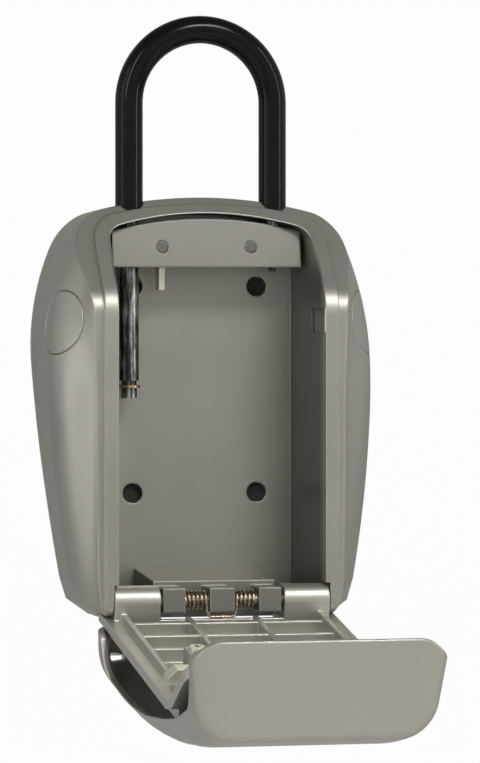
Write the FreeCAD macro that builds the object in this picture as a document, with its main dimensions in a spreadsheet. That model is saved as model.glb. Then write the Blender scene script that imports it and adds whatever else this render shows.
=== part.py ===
import FreeCAD, Part
import math
import os

from FreeCAD import Placement, Rotation, Vector

# A combination key safe with a shackle, its door and weather cover folded down.
# Origin: centre of the four wall holes, on the flat back. X right, Y back, Z up.
# The door group is drawn shut and then swung open about the hinge pin.

doc = FreeCAD.newDocument("KeySafe")
sheet = doc.addObject("Spreadsheet::Sheet", "Sizes")


class Size:
    """A number that remembers the sheet expression it comes from."""

    def __init__(self, number, text):
        self.number = float(number)
        self.text = text

    def join(self, sign, other, number, turned=False):
        theirs = other.text if isinstance(other, Size) else repr(float(other))
        first, second = (theirs, self.text) if turned else (self.text, theirs)
        return Size(number, "(%s %s %s)" % (first, sign, second))

    def __float__(self):
        return self.number

    def __add__(self, other):
        return self.join("+", other, self.number + float(other))

    def __radd__(self, other):
        return self.join("+", other, self.number + float(other), True)

    def __sub__(self, other):
        return self.join("-", other, self.number - float(other))

    def __rsub__(self, other):
        return self.join("-", other, float(other) - self.number, True)

    def __mul__(self, other):
        return self.join("*", other, self.number * float(other))

    def __rmul__(self, other):
        return self.join("*", other, self.number * float(other), True)

    def __truediv__(self, other):
        return self.join("/", other, self.number / float(other))

    def __neg__(self):
        return Size(-self.number, "(0 - %s)" % self.text)


class Sizes:
    """Driving sizes in millimetres and degrees, one sheet row each."""

    row = 0

    def add(self, **sizes):
        for name, number in sizes.items():
            Sizes.row += 1
            sheet.set("A%d" % Sizes.row, name)
            sheet.set("B%d" % Sizes.row, str(number))
            sheet.setAlias("B%d" % Sizes.row, name)
            setattr(self, name, Size(number, "Sizes." + name))


s = Sizes()

# Clearances
s.add(run_gap=0.06, slide_gap=0.3, seat_gap=0.3, door_gap=0.5)

# Case
s.add(case_depth=41.5, back_wall=3.0, case_foot=68.9, case_crown=59.3, crown_radius=125.0)
s.add(foot_half=34.0, foot_round_half=42.0, foot_round_rise=4.9)
s.add(shoulder_height=44.0, shoulder_round=11.0)
s.add(kink_height=28.2, slope_angle=41.0, kink_round=12.0)
s.add(lip_band=4.1, lip_lift=1.5, lip_groove=1.5, lip_crown_band=2.9)
s.add(mouth_half=32.2, mouth_taper=1.5, mouth_floor=65.9, mouth_shoulder=49.5)
s.add(mouth_crown=54.4, mouth_round=5.0)
s.add(crest_half=50.2, crest_height=3.5, crest_drop_low=5.8, crest_drop_high=8.6)
s.add(crest_depth=12.5, crest_depth_gain=13.5)
s.add(back_half=52.0, back_height=15.0, back_drop_low=9.3, back_drop_high=9.5, back_round=3.0)
s.add(flank_low=57.4, flank_high=51.5)

# Wall holes
s.add(hole_gap_x=39.5, hole_gap_z=64.0, hole_bore=3.1)

# Hinge
s.add(hinge_setback=4.5, hinge_height=63.0, hinge_pin_round=1.5, hinge_pin_half=35.5)
s.add(barrel_round=4.6, arm_inner=19.3, arm_end=33.3, door_open=101.3, hinge_relief=4.6)
s.add(hinge_relief_depth=14.5)

# Hinge block
s.add(block_half=19.1, block_front=12.0, block_top=55.2, block_slope=2.6)
s.add(knuckle_half=3.8, knuckle_outer_start=11.5, knuckle_outer_end=18.3)
s.add(knuckle_front=0.8, knuckle_below=3.7, knuckle_above=3.7)
s.add(block_screw_gap=24.0, block_screw_round=1.5, block_screw_head=2.8, block_screw_length=9.0)

# Door spring
s.add(coil_wire=0.85, coil_round=2.55, coil_rise=1.31, coil_turns=4.25, coil_start=4.75)
s.add(loop_drop=5.1)

# Lock housing and bar
s.add(housing_half=28.4, housing_front=25.6, housing_bottom=38.2, housing_height=10.6)
s.add(bar_half=29.6, bar_setback=20.8, bar_lean=2.8, bar_thick=2.2, bar_bottom=37.8)
s.add(bar_crown_gap=1.7, rivet_gap=27.8, rivet_round=1.85, rivet_height=44.0, rivet_length=6.0)

# Shackle
s.add(rod_round=3.0, leg_gap=45.3, leg_setback=29.9, arch_height=88.4)
s.add(long_leg_foot=2.4, short_leg_foot=38.0, sleeve_wall=1.25, sleeve_foot=54.0)
s.add(neck_round=2.3, neck_height=3.0, neck_foot=0.4, tip_round=2.45)
s.add(clip_round=3.5, clip_thick=0.7, leg_tip_round=1.2, leg_tip=1.4, leg_notch=2.0, leg_notch_height=5.0)

# Shackle lock bolt
s.add(bolt_left=13.8, bolt_width=4.0, bolt_height=4.0, bolt_foot=40.8)
s.add(release_thick=1.8, release_drop=7.4, release_width=5.0)

# Side plugs
s.add(plug_round=9.5, plug_thick=6.0, plug_height=21.0, plug_setback=13.2, plug_reach=49.4)
s.add(plug_turn=19.0, plug_gap=0.25, plug_proud=3.0, plug_floor=0.3)

# Strikes in the case's side walls
s.add(strike_depth=3.8, strike_front=0.6, strike_back=15.5, strike_low=17.9, strike_high=25.3)
s.add(strike_pin_round=0.9, strike_pin_in=0.6, strike_pin_setback=1.6)

# Door tray
s.add(flange_half=35.9, flange_thick=2.8, tray_foot=69.5, pan_half=32.7, pan_wall=1.4)
s.add(pan_floor=4.0, pan_plate=2.5, pan_head=27.5, rib_thick=1.6)
s.add(side_rib_lift=1.5, cross_rib_lift=0.2, cross_rib_first=53.0, cross_rib_step=14.0)
s.add(long_rib_half=10.5, hinge_bay_half=18.5, hinge_bay_head=60.0)
s.add(tray_round=6.5, tray_shoulder=48.5, tray_crown=52.0)

# Dials
s.add(dial_round=8.4, dial_width=7.2, dial_step=10.0, dial_depth=5.2, dial_height=4.0)
s.add(dial_notch=0.8, dial_count=4, axle_round=1.6, axle_half=24.6, cam_round=4.6, cam_width=8.4)
s.add(cam_slot=1.2)

# Dial housing
s.add(bezel_half=27.0, bezel_front=11.6, bezel_wall=1.6, bezel_foot=20.0, bezel_head=24.0)
s.add(window_half_height=7.3)

# Opening slider
s.add(slider_half=8.0, slider_height=18.2, slider_tall=7.0, slider_lift=1.4, slider_travel=4.5)
s.add(stem_half=3.0, stem_tall=2.6)

# Latch bolts
s.add(latch_tall=5.6, latch_foot=18.8, latch_inner=13.0, latch_head_in=27.6, latch_body_end=31.2)
s.add(latch_nose_end=35.4, latch_rise=7.8, latch_nose_low=3.2, latch_bevel=2.6, latch_bar_rise=1.0)
s.add(latch_spring_round=1.8, latch_spring_wire=0.5)

# Lock plate on the inner side of the door
s.add(plate_half=23.5, plate_foot=8.0, plate_top=5.4, plate_wall=1.4)
s.add(plate_screw_round=1.3, plate_screw_head=2.3, plate_screw_inset=3.2)
s.add(detent_thick=0.5, detent_width=5.0)
s.add(reset_round=2.4, reset_reach=9.0, reset_thick=1.6, reset_x=12.0, reset_height=21.5)

# Weather cover
s.add(cover_wall=2.0, cover_gap=0.4, cover_low_half=41.0, cover_top_half=38.9, cover_draft=3.4, cover_round=12.0)
s.add(cover_foot=69.0, cover_foot_gap=8.0, cover_head=59.0, cover_head_round=3.0)
s.add(cover_pin_round=1.2, cover_pin_depth=12.0, cover_pin_height=69.0, cover_knuckle=2.2)
s.add(cover_pin_half=33.0, lug_inner=28.6, strap_inner=19.0, strap_rise=4.6, strap_front=4.6)
s.add(cover_waist_half=38.0, cover_waist_height=34.0, cover_top_draft=7.6)
s.add(cover_reach=34.0, cover_end=25.3, cover_end_half=37.0, cover_end_round=10.0)
s.add(cover_low_front=21.8, cover_low_height=56.0, cover_mid_front=20.2, cover_mid_height=2.5)
s.add(cover_high_front=4.8, cover_high_height=56.1)

doc.recompute()

rim = -s.case_depth
hinge_y = rim + s.hinge_setback
hinge_z = -s.hinge_height
lip_half = s.mouth_half + s.lip_band
slope = math.radians(float(s.slope_angle))
outputs = {}


def plain(*sizes):
    """Sizes as plain numbers."""
    return tuple(float(size) for size in sizes)


def bind(item, **sizes):
    """Ties an object's properties to the sheet; at_x means Placement.Base.x."""
    for name, size in sizes.items():
        path = "Placement.Base." + name[3:] if name.startswith("at_") else name
        if isinstance(size, Size):
            item.setExpression(path, size.text)
        elif path == name:
            setattr(item, name, size)
        else:
            setattr(item.Placement.Base, name[3:], float(size))


def box(x, y, z, name="Block"):
    """A block between pairs of sizes."""
    item = doc.addObject("Part::Box", name)
    bind(item, Length=x[1] - x[0], Width=y[1] - y[0], Height=z[1] - z[0])
    base = Vector(*plain(x[0], y[0], z[0]))
    item.Placement = Placement(base, Rotation())
    bind(item, **{key: value[0] for key, value in (("at_x", x), ("at_y", y), ("at_z", z))
                  if isinstance(value[0], Size)})
    return item


TURNS = {
    "x": Rotation(Vector(0, 1, 0), 90),
    "y": Rotation(Vector(1, 0, 0), -90),
    "z": Rotation(),
}


def round_bar(axis, radius, start, end, across, name="Bar"):
    """A cylinder along an axis between two sizes; across gives its other two places."""
    item = doc.addObject("Part::Cylinder", name)
    places = {"x": (start, *across), "y": (across[0], start, across[1]), "z": (*across, start)}
    where = places[axis]
    item.Placement = Placement(Vector(*plain(*where)), TURNS[axis])
    bind(item, Radius=radius, Height=end - start)
    bind(item, **{key: value for key, value in zip(("at_x", "at_y", "at_z"), where)
                  if isinstance(value, Size)})
    return item


def fuse(*items, name="Joined"):
    item = doc.addObject("Part::MultiFuse", name)
    item.Shapes = list(items)
    return item


def cut(base, *tools, name="Cut"):
    item = doc.addObject("Part::Cut", name)
    item.Base = base
    item.Tool = tools[0] if len(tools) == 1 else fuse(*tools)
    return item


def common(*items, name="Common"):
    item = doc.addObject("Part::MultiCommon", name)
    item.Shapes = list(items)
    return item


def group(*items, name="Group"):
    item = doc.addObject("Part::Compound", name)
    item.Links = list(items)
    return item


def shaped(shape, name="Shaped"):
    item = doc.addObject("Part::Feature", name)
    item.Shape = shape
    return item


def give(node, item):
    """Names a finished sub-part."""
    item.Label = node
    outputs[node] = item
    return item


def swing(node, item):
    """Names a finished sub-part of the door and turns it to the open pose."""
    whole = group(item, name="Swung")
    turn = Rotation(Vector(1, 0, 0), float(s.door_open))
    pin = Vector(0, *plain(hinge_y, hinge_z))
    whole.Placement = Placement(pin - turn.multVec(pin), turn)
    return give(node, whole)


def closed_wire(points, rounds):
    """A polygon whose corners are arcs of the given radii."""
    edges = []
    ends = []
    count = len(points)
    for index, corner in enumerate(points):
        before = (points[index - 1] - corner).normalize()
        after = (points[(index + 1) % count] - corner).normalize()
        radius = rounds[index]
        if not radius:
            ends.append((corner, corner, None))
            continue
        half = before.getAngle(after) / 2
        reach = radius / math.tan(half)
        middle = (before + after).normalize() * (radius / math.sin(half) - radius)
        ends.append((corner + before * reach, corner + after * reach, corner + middle))
    for index, (start, end, middle) in enumerate(ends):
        if middle is not None:
            edges.append(Part.Arc(start, middle, end).toShape())
        following = ends[(index + 1) % count][0]
        if end.distanceToPoint(following) > 1e-6:
            edges.append(Part.LineSegment(end, following).toShape())
    return Part.Wire(edges)


def prism(points, rounds, start, end, axis="x"):
    """A straight solid of a rounded outline drawn across an axis."""
    low, high = plain(start, end)
    place = {"x": lambda a, b: Vector(low, a, b), "y": lambda a, b: Vector(a, low, b),
             "z": lambda a, b: Vector(a, b, low)}[axis]
    reach = {"x": Vector(1, 0, 0), "y": Vector(0, 1, 0), "z": Vector(0, 0, 1)}[axis] * (high - low)
    corners = [place(*plain(a, b)) for a, b in points]
    return Part.Face(closed_wire(corners, rounds)).extrude(reach)


def arched_wire(half, foot, shoulder, crown, depth):
    """A flat-footed outline with an arched top, across Y at the given depth."""
    half, foot, shoulder, crown, depth = plain(half, foot, shoulder, crown, depth)
    low_left, low_right = Vector(-half, depth, -foot), Vector(half, depth, -foot)
    top_left, top_right = Vector(-half, depth, shoulder), Vector(half, depth, shoulder)
    return Part.Wire([
        Part.LineSegment(low_left, low_right).toShape(),
        Part.LineSegment(low_right, top_right).toShape(),
        Part.Arc(top_right, Vector(0, depth, crown), top_left).toShape(),
        Part.LineSegment(top_left, low_left).toShape(),
    ])


def arched_prism(half, foot, shoulder, crown, start, end):
    wire = arched_wire(half, foot, shoulder, crown, start)
    return Part.Face(wire).extrude(Vector(0, float(end) - float(start), 0))


# Reaches that lie clear of the whole case
TALL = float(s.case_foot + s.arch_height)
WIDE = float(s.back_half + s.arch_height)


def behind(offset):
    """All that lies behind the rim and its sloping head, set back by an offset."""
    setback, kink, depth = plain(offset, s.kink_height, s.case_depth)
    kink -= setback * math.tan(slope / 2)
    front = -depth + setback
    head = front + (TALL - kink) * math.tan(slope)
    outline = [(front, -TALL), (WIDE * 2, -TALL), (WIDE * 2, TALL), (head, TALL), (front, kink)]
    return prism(outline, [0] * 4 + [float(s.kink_round) - setback], -WIDE, WIDE)


def sheet_between(front, back):
    """The layer between two setbacks from the rim."""
    return behind(front).cut(behind(back))


def falling(peak, middle, drop_low, drop_high, low, high, power_low, height):
    """A half-width that falls away above and below its widest height."""
    if height > middle:
        return peak - drop_high * ((height - middle) / (high - middle)) ** 2
    return peak - drop_low * ((middle - height) / (low + middle)) ** power_low


def flank_half(setback, height):
    """The case's half-width at a setback from the rim and a height."""
    low, high = plain(s.flank_low, s.flank_high)
    crest = falling(*plain(s.crest_half, s.crest_height, s.crest_drop_low, s.crest_drop_high),
                    low, high, 2.0, height)
    back = falling(*plain(s.back_half, s.back_height, s.back_drop_low, s.back_drop_high),
                   low, high, 1.4, height)
    front = float(lip_half + s.lip_groove)
    depth = float(s.crest_depth) + float(s.crest_depth_gain) * max(0.0, height / high) ** 2
    if setback < depth:
        return front + (crest - front) * setback / depth
    return crest + (back - crest) * (setback - depth) / (float(s.case_depth) - depth)


def case_section(setback, inset):
    """The case's rounded outline at one setback, as a wire across Y."""
    depth = float(rim) + setback
    foot, crown, arch = -float(s.case_foot) + inset, float(s.case_crown) - inset, float(s.crown_radius)

    def half(height):
        return flank_half(setback, height) - inset

    def point(x, z):
        return Vector(x, depth, z)

    low, high = plain(-s.flank_low, s.shoulder_height)
    first = point(float(s.foot_half) - inset, foot)
    second_height = foot + float(s.foot_round_rise)
    second = point(min(float(s.foot_round_half), half(second_height) - 0.8), second_height)
    flank = [point(half(low + (high - low) * step / 7), low + (high - low) * step / 7)
             for step in range(8)]
    ahead = point(half(high + 0.5), high + 0.5) - flank[-1]
    end_half = half(high) - float(s.shoulder_round)
    end = point(end_half, crown - end_half ** 2 / (2 * arch))
    along = point(-1, end_half / arch) - point(0, 0)
    reach = ((end - flank[-1]).cross(along).y) / (ahead.cross(along).y)
    corner = flank[-1] + ahead * reach
    shoulder = [flank[-1], flank[-1] + (corner - flank[-1]) * 0.6, end + (corner - end) * 0.6, end]

    def mirrored(points):
        return [Vector(-a.x, a.y, a.z) for a in reversed(points)]

    def curve(points, kind):
        if kind == "spline":
            made = Part.BSplineCurve()
            made.interpolate(points)
        else:
            made = Part.BezierCurve()
            made.setPoles(points)
        return made.toShape()

    left_first, left_second = Vector(-first.x, depth, first.z), Vector(-second.x, depth, second.z)
    return Part.Wire([
        Part.LineSegment(left_first, first).toShape(),
        Part.LineSegment(first, second).toShape(),
        Part.LineSegment(second, flank[0]).toShape(),
        curve(flank, "spline"),
        curve(shoulder, "bezier"),
        Part.Arc(end, point(0, crown), Vector(-end.x, depth, end.z)).toShape(),
        curve(mirrored(shoulder), "bezier"),
        curve(mirrored(flank), "spline"),
        Part.LineSegment(Vector(-flank[0].x, depth, flank[0].z), left_second).toShape(),
        Part.LineSegment(left_second, left_first).toShape(),
    ])


def back_case():
    """The die-cast shell: flared flanks, raised front lip, key compartment."""
    depth, back_round = plain(s.case_depth, s.back_round)
    stations = [(share * (depth - back_round), 0.0) for share in (0, 0.14, 0.28, 0.42, 0.58, 0.78, 1.0)]
    stations += [(depth - back_round * 0.35, back_round * 0.2), (depth, back_round * 0.6)]
    body = Part.makeLoft([case_section(*station) for station in stations], True, False)

    lip_crown = s.mouth_crown + s.lip_crown_band
    lip_shoulder = s.mouth_shoulder + s.lip_crown_band
    lip = arched_prism(lip_half, s.case_foot, lip_shoulder, lip_crown, rim, 0)
    corners = [edge for edge in lip.Edges if abs(edge.BoundBox.ZMin - float(lip_shoulder)) < 1e-6
               and edge.BoundBox.YLength > 1]
    lip = lip.makeFillet(float(s.mouth_round + s.lip_band), corners)
    shell = body.common(behind(s.lip_lift)).fuse(body.common(behind(0)).common(lip))

    floor = -s.back_wall
    mouth = Part.makeLoft([
        arched_wire(s.mouth_half, s.mouth_floor, s.mouth_shoulder, s.mouth_crown, rim - 1),
        arched_wire(s.mouth_half - s.mouth_taper, s.mouth_floor, s.mouth_shoulder,
                    s.mouth_crown, floor)], True, True)
    corners = [edge for edge in mouth.Edges
               if abs(edge.BoundBox.ZMin - float(s.mouth_shoulder)) < 1e-6
               and edge.BoundBox.YLength > 1]
    mouth = mouth.makeFillet(float(s.mouth_round), corners)
    item = cut(shaped(shell, "CaseShell"), shaped(mouth, "CaseMouth"))

    relief_half = lip_half + s.door_gap
    across = (rim - 1, rim + s.hinge_relief_depth)
    relief = cut(box((-relief_half, relief_half), across, (-s.case_foot - 1, hinge_z)),
                 round_bar("x", s.hinge_relief, -relief_half, relief_half, (hinge_y, hinge_z)))
    sill = box((-s.mouth_half, s.mouth_half), across, (-s.case_foot - 1, hinge_z))
    tools = [relief, sill, round_bar("x", s.hinge_pin_round + s.run_gap / 2, -s.hinge_pin_half - 0.2,
                               s.hinge_pin_half + 0.2, (hinge_y, hinge_z))]
    for side in (-1, 1):
        for level in (-1, 1):
            place = (side * s.hole_gap_x / 2, level * s.hole_gap_z / 2)
            tools.append(round_bar("y", s.hole_bore, floor - 1, 1, place))
        leg = (side * s.leg_gap / 2, rim + s.leg_setback)
        tools.append(round_bar("z", s.rod_round + s.sleeve_wall + s.seat_gap, s.mouth_shoulder - 2,
                               s.case_crown + 1, leg))
        wall = s.mouth_half - s.mouth_taper
        reach = s.mouth_half + s.strike_depth
        span = (wall, reach) if side > 0 else (-reach, -wall)
        tools.append(box(span, (rim + s.strike_front, rim + s.strike_back),
                         (s.strike_low, s.strike_high)))
        end = s.arm_end + s.seat_gap
        notch = (s.mouth_half - 1, end) if side > 0 else (-end, 1 - s.mouth_half)
        tools.append(round_bar("x", s.barrel_round + s.seat_gap, notch[0], notch[1], (hinge_y, hinge_z)))
        tools.append(box(notch, (rim - 1, hinge_y), (hinge_z, hinge_z + s.barrel_round + s.seat_gap)))
        tools.append(plug_bar(side, s.plug_round + s.plug_gap, s.plug_thick + s.plug_floor))
        screw = (side * s.block_screw_gap / 2, block_screw_y)
        tools.append(round_bar("z", s.block_screw_round + s.run_gap, -s.case_foot - 1,
                               -s.mouth_floor + 1, screw))
        tools.append(round_bar("z", s.block_screw_head + s.seat_gap, -s.case_foot - 1,
                               -s.case_foot + 1.4, screw))
    give("back_case", cut(item, *tools, name="BackCase"))
    return body


def plug_bar(side, radius, thick):
    """A disc on a flank, facing outwards and a little forwards."""
    turn = Rotation(Vector(0, 0, 1), side * -float(s.plug_turn))
    outwards = turn.multVec(Vector(side, 0, 0))
    reach, setback, height = plain(s.plug_reach, s.plug_setback, s.plug_height)
    face = Vector(side * reach, float(rim) + setback, height)
    item = doc.addObject("Part::Cylinder", "Disc")
    bind(item, Radius=radius, Height=thick + s.plug_proud)
    base = face - outwards * float(thick)
    item.Placement = Placement(base, Rotation(Vector(0, 0, 1), outwards))
    return item


def side_plugs(body):
    """Discs set flush into the flanks."""
    for side, node in ((-1, "side_plug_left"), (1, "side_plug_right")):
        give(node, common(plug_bar(side, s.plug_round, s.plug_thick), shaped(body, "Flanks")))


block_screw_y = rim + s.block_front + 8


def hinge_block():
    """The castellated block that holds the hinge pin and the door spring."""
    back = -s.back_wall
    top = -s.block_top
    front = rim + s.block_front
    body = box((-s.block_half, s.block_half), (front, back), (-s.mouth_floor, top))
    bevel = prism([(front - 1, float(top) - float(s.block_slope)), (front - 1, top + 1),
                   (back + 1, top + 1), (back, top)], [0] * 4, -s.block_half - 1, s.block_half + 1)
    lugs = []
    outer = (s.knuckle_outer_start, s.knuckle_outer_end)
    spans = [(-s.knuckle_half, s.knuckle_half), outer, (-outer[1], -outer[0])]
    for span in spans:
        lugs.append(box(span, (rim + s.knuckle_front, front + 1),
                        (hinge_z - s.knuckle_below, hinge_z + s.knuckle_above)))
    pin_hole = round_bar("x", s.hinge_pin_round + s.run_gap, -s.block_half - 1, s.block_half + 1,
                         (hinge_y, hinge_z))
    tools = [pin_hole]
    for side in (-1, 1):
        tools.append(round_bar("z", s.block_screw_round + s.run_gap, -s.mouth_floor - 1,
                               -s.case_foot + s.block_screw_length + 0.4,
                               (side * s.block_screw_gap / 2, block_screw_y)))
    solid = cut(fuse(cut(body, shaped(bevel)), *lugs), *tools)
    give("hinge_block", group(solid))
    screws = []
    for side in (-1, 1):
        place = (side * s.block_screw_gap / 2, block_screw_y)
        shank = round_bar("z", s.block_screw_round, -s.case_foot + 0.4,
                          -s.case_foot + s.block_screw_length, place)
        head = round_bar("z", s.block_screw_head, -s.case_foot + 0.2, -s.case_foot + 1.4, place)
        screws.append(fuse(shank, head))
    give("hinge_block_screws", group(*screws))
    give("hinge_pin", group(round_bar("x", s.hinge_pin_round, -s.hinge_pin_half, s.hinge_pin_half,
                                      (hinge_y, hinge_z))))


def corner_arc(start, corner, end):
    """The arc that leaves along start to corner and arrives along corner to end."""
    middle = (start + end) / 2
    cosine = (start - middle).Length / (start - corner).Length
    top = middle + (corner - middle) * (cosine / (1 + cosine))
    return Part.Arc(start, top, end).toShape()


def bent_path(points, bend):
    """Straight runs joined by equal bends."""
    edges = []
    last = points[0]
    for before, corner, after in zip(points, points[1:], points[2:]):
        back = (before - corner).normalize()
        on = (after - corner).normalize()
        reach = bend / math.tan(back.getAngle(on) / 2)
        start, end = corner + back * reach, corner + on * reach
        edges.append(Part.LineSegment(last, start).toShape())
        edges.append(corner_arc(start, corner, end))
        last = end
    edges.append(Part.LineSegment(last, points[-1]).toShape())
    return edges


def coil_edges(place, heading, steps):
    """Two arcs for each quarter turn of a coil, given its point and heading by angle."""
    edges = []
    for step in range(steps):
        first, last = place(step), place(step + 1)
        leave, arrive = heading(step), heading(step + 1)
        span = last - first
        both = leave + arrive
        spread = 2 * (1 - leave.dot(arrive))
        reach = (math.sqrt(span.dot(both) ** 2 + spread * span.dot(span)) - span.dot(both)) / spread
        joint = (first + last + (leave - arrive) * reach) / 2
        edges.append(corner_arc(first, first + leave * reach, joint))
        edges.append(corner_arc(joint, last - arrive * reach, last))
    return edges


def wound(centre, radius, rise, turns, first_angle, side, turn):
    """A coil about an X axis: side is its way along X, turn its way round."""
    lead = rise / (2 * math.pi * radius)
    size = math.sqrt(1 + lead ** 2)

    def angle(step):
        return first_angle + turn * step * math.pi / 2

    def place(step):
        return centre + Vector(side * rise * step / 4, radius * math.cos(angle(step)),
                               radius * math.sin(angle(step)))

    def heading(step):
        return Vector(side * lead, -turn * math.sin(angle(step)),
                      turn * math.cos(angle(step))) / size

    steps = round(turns * 4)
    return coil_edges(place, heading, steps), place(0), heading(0), place(steps), heading(steps)


def round_wire(edges, radius):
    """A round wire along a path, as one closed solid."""
    path = Part.Wire(Part.__sortEdges__(edges))
    first = path.OrderedEdges[0]
    heading = first.tangentAt(first.FirstParameter)
    circle = Part.Wire(Part.Circle(first.valueAt(first.FirstParameter), heading, radius).toShape())
    return path.makePipeShell([circle], True, False), path


def least_gap(path, wire):
    """The least clear gap between stretches of one wire, measured on points."""
    points = path.discretize(Distance=wire / 3)
    apart = 9
    least = min((first - second).Length
                for place, first in enumerate(points)
                for second in points[place + apart:])
    return least - wire


def door_spring():
    """One wire: a coil each side of the middle knuckle, joined by a loop under it."""
    wire, radius, rise, turns, start = plain(s.coil_wire, s.coil_round, s.coil_rise,
                                             s.coil_turns, s.coil_start)
    drop = float(s.loop_drop)
    leg = float(s.block_front - s.hinge_setback - s.seat_gap)
    pin = Vector(0, *plain(hinge_y, hinge_z))
    left, left_in, left_up, left_out, left_on = wound(
        pin - Vector(start, 0, 0), radius, rise, turns, math.pi, -1, -1)
    right, right_in, right_up, right_out, right_on = wound(
        pin + Vector(start, 0, 0), radius, rise, turns, math.pi, 1, -1)
    loop = [left_in, left_in - left_up * drop, right_in - right_up * drop, right_in]
    edges = [Part.LineSegment(left_out + left_on * leg, left_out).toShape()]
    edges += left[::-1] + bent_path(loop, wire * 1.6) + right
    edges.append(Part.LineSegment(right_out, right_out + right_on * leg).toShape())
    solid, path = round_wire(edges, wire / 2)
    print("door_spring: least gap to itself %.2f mm" % least_gap(path, wire))
    give("door_spring", shaped(solid, "DoorSpring"))


def small_coil(node, start, end, radius, wire, turns):
    """A compression spring between two ends on an X axis."""
    ends = [Vector(*plain(*point)) for point in (start, end)]
    radius, wire = plain(radius, wire)
    side = 1 if ends[1].x > ends[0].x else -1
    rise = (abs(ends[1].x - ends[0].x) - wire) / turns
    first = ends[0] + Vector(side * wire / 2, 0, 0)
    coil, head, up, tail, on = wound(first, radius, rise, turns, 0, side, 1)
    edges = [Part.LineSegment(head - up * wire, head).toShape()] + coil
    edges.append(Part.LineSegment(tail, tail + on * wire).toShape())
    solid, path = round_wire(edges, wire / 2)
    print("%s: least gap to itself %.2f mm" % (node, least_gap(path, wire)))
    swing(node, shaped(solid, "Coil"))


leg_y = rim + s.leg_setback
channel_end = s.leg_gap / 2 - s.rod_round - s.seat_gap
rivet_y = rim + s.bar_setback + 1.2


def lock_housing():
    """The block behind the lock bar that guides both shackle legs and the lock bolt."""
    block = box((-s.housing_half, s.housing_half), (rim + s.housing_front, -s.back_wall),
                (s.housing_bottom, s.housing_bottom + s.housing_height))
    gap = s.seat_gap
    across = (leg_y - s.bolt_width / 2 - gap, leg_y + s.bolt_width / 2 + gap)
    tools = [box((-channel_end, s.leg_gap / 2), across,
                 (s.bolt_foot - gap, s.bolt_foot + s.bolt_height + gap))]
    tab = (leg_y - s.release_width / 2 - gap, leg_y + s.release_width / 2 + gap)
    tools.append(box((-channel_end, -s.bolt_left + s.release_thick + s.leg_notch + gap), tab,
                     (s.housing_bottom - 1, s.bolt_foot)))
    for side in (-1, 1):
        tools.append(round_bar("z", s.rod_round + s.run_gap, s.housing_bottom - 1,
                               s.housing_bottom + s.housing_height + 1,
                               (side * s.leg_gap / 2, leg_y)))
        tools.append(round_bar("y", s.rivet_round + s.run_gap / 2, rivet_y, rivet_y + s.rivet_length,
                               (side * s.rivet_gap / 2, s.rivet_height)))
    give("lock_housing", cut(block, *tools))


def lock_bar():
    """The leaning plate that closes the lock housing, held by two flush rivets."""
    bottom, top = s.bar_bottom, s.mouth_crown
    front = rim + s.bar_setback
    head = front + s.bar_lean
    leaning = prism([(front, bottom), (front + s.bar_thick, bottom), (head + s.bar_thick, top),
                     (head, top)], [0] * 4, -s.bar_half, s.bar_half)
    arch = arched_prism(s.bar_half, -bottom, s.mouth_shoulder - 0.6,
                        s.mouth_crown - s.bar_crown_gap, rim, 0)
    plate = shaped(leaning.common(arch))
    holes = []
    rivets = []
    for side in (-1, 1):
        place = (side * s.rivet_gap / 2, s.rivet_height)
        holes.append(round_bar("y", s.rivet_round + s.run_gap / 2, rivet_y - 3,
                               rivet_y + s.rivet_length, place))
        rivets.append(round_bar("y", s.rivet_round, rivet_y, rivet_y + s.rivet_length - 0.6, place))
    give("lock_bar", cut(plate, *holes))
    give("lock_bar_rivets", group(*rivets))


def shackle():
    """A bent rod with a plastic sleeve over its arch and a clip at its long foot."""
    left, right = -s.leg_gap / 2, s.leg_gap / 2
    arch = s.arch_height

    def half_ring(radius):
        ring = doc.addObject("Part::Torus", "HalfRing")
        bind(ring, Radius1=s.leg_gap / 2, Radius2=radius)
        ring.Angle3 = 180
        ring.Placement = Placement(Vector(0, *plain(leg_y, arch)), Rotation(Vector(1, 0, 0), 90))
        bind(ring, at_y=leg_y, at_z=arch)
        return ring

    def bow(radius, left_foot, right_foot):
        legs = [round_bar("z", radius, foot, arch, (side, leg_y))
                for foot, side in ((left_foot, left), (right_foot, right))]
        return fuse(*legs, half_ring(radius))

    rod = bow(s.rod_round, s.neck_height, s.short_leg_foot)
    neck = round_bar("z", s.neck_round, s.neck_foot - 0.2, s.neck_height + 0.2, (left, leg_y))
    tip = round_bar("z", s.tip_round, -s.long_leg_foot, s.neck_foot, (left, leg_y))
    inner_face = right - s.rod_round
    notch_foot = s.bolt_foot - (s.leg_notch_height - s.bolt_height) / 2
    notch = box((inner_face - 1, inner_face + s.leg_notch),
                (leg_y - s.rod_round - 1, leg_y + s.rod_round + 1),
                (notch_foot, notch_foot + s.leg_notch_height))
    end = round_bar("z", s.leg_tip_round, s.short_leg_foot - s.leg_tip, s.short_leg_foot + 0.2,
                    (right, leg_y))
    give("shackle_rod", cut(fuse(rod, neck, tip, end), notch))
    sleeve = cut(bow(s.rod_round + s.sleeve_wall, s.sleeve_foot, s.sleeve_foot),
                 bow(s.rod_round + s.run_gap / 2, s.sleeve_foot - 1, s.sleeve_foot - 1))
    give("shackle_sleeve", sleeve)
    clip_foot = s.neck_foot + 0.5
    ring = round_bar("z", s.clip_round, clip_foot, clip_foot + s.clip_thick, (left, leg_y))
    hole = round_bar("z", s.neck_round + s.run_gap / 2, clip_foot - 1, clip_foot + s.clip_thick + 1,
                     (left, leg_y))
    give("shackle_clip", cut(ring, hole))


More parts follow.
